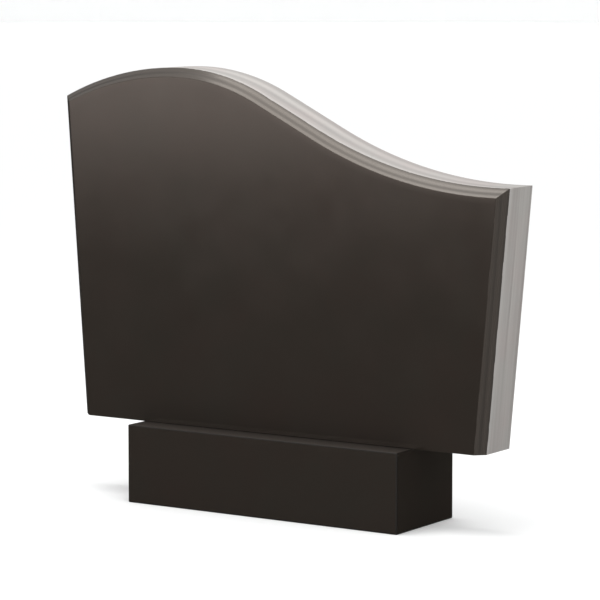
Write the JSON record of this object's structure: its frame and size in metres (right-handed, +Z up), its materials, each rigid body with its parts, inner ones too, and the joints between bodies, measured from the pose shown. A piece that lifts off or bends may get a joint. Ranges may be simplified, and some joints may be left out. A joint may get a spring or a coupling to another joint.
{
  "type": "headstone",
  "caption": "Blank upright headstone of dark polished stone with a wave-shaped top and a chamfered front, standing on a low rectangular plinth.",
  "frame": {"origin": "centre of the plinth's underside, which is also the middle of the whole object's footprint", "axes": "+Z up, +X along the width towards the low shoulder, the front faces -Y"},
  "size_m": [0.98, 0.2, 0.8273],
  "materials": {
    "stele_stone": "near-black warm stone, polished on the front and its chamfers, ground to a streaked grey on the top and the sides, sawn grey on the back",
    "plinth_stone": "near-black warm stone, polished on all four sides, duller on the top and the arrises, sawn grey below"
  },
  "bodies": {
    "root": {"stele": "stele_stone", "plinth": "plinth_stone"}
  },
  "joints": []
}
